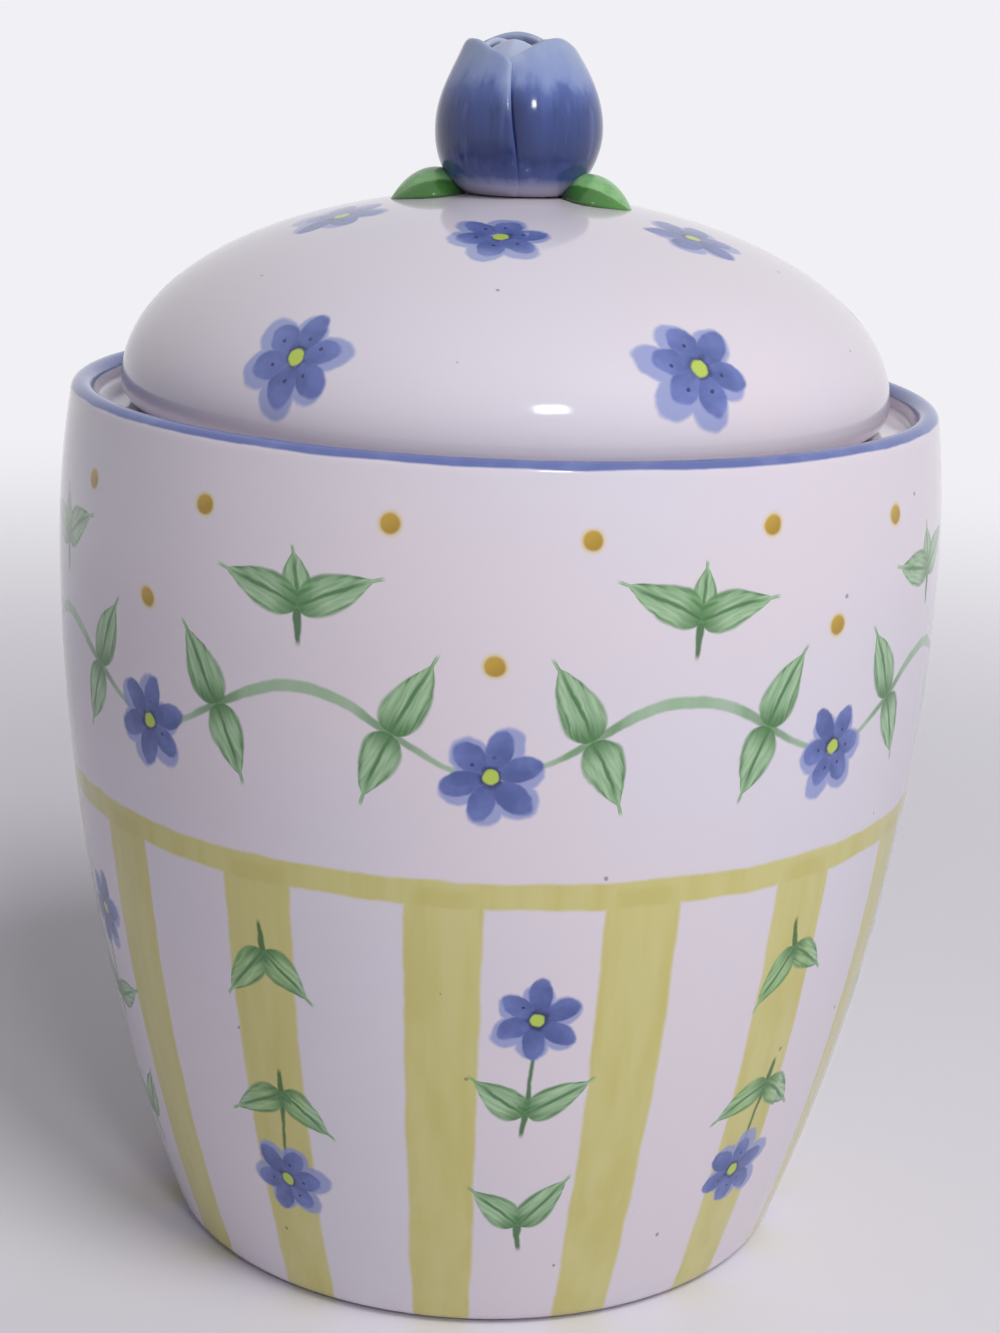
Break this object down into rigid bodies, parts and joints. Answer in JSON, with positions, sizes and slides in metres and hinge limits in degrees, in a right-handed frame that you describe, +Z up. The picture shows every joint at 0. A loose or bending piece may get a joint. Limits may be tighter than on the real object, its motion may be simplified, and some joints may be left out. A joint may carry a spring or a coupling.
{
  "type": "canister",
  "caption": "Round glazed ceramic canister with a swelling wall, a lift-off domed lid that seats inside the lip, and a tulip-bud knob with two leaves.",
  "frame": {"origin": "centre of the foot ring, on the surface that the canister stands on", "axes": "+Z up along the axis of the jar; the front, with the seam of the bud, faces -Y"},
  "size_m": [0.178, 0.178, 0.244],
  "materials": {
    "white_glaze": "glossy white glaze with hand-painted flowers, stripes and a blue rim",
    "blue_glaze": "glossy blue glaze, brushed on in upright strokes",
    "green_glaze": "glossy green glaze",
    "soft_ring": "translucent white silicone, matt"
  },
  "bodies": {
    "jar": {"jar_body": "white_glaze"},
    "seal": {"sealing_ring": "soft_ring"},
    "lid": {"lid_dome": "white_glaze", "bud_core": "blue_glaze", "outer_petal_left": "blue_glaze", "outer_petal_right": "blue_glaze", "outer_petal_back": "blue_glaze", "inner_petal_front": "blue_glaze", "inner_petal_left": "blue_glaze", "inner_petal_right": "blue_glaze", "left_leaf": "green_glaze", "right_leaf": "green_glaze"}
  },
  "joints": [
    {"name": "lid_lift", "type": "slide", "parent": "jar", "child": "seal", "axis": [0, 0, 1], "range_m": [0, 0.09]},
    {"name": "lid_turn", "type": "hinge", "parent": "seal", "child": "lid", "pos_m": [0, 0, 0.1701], "axis": [0, 0, 1], "continuous": true}
  ]
}
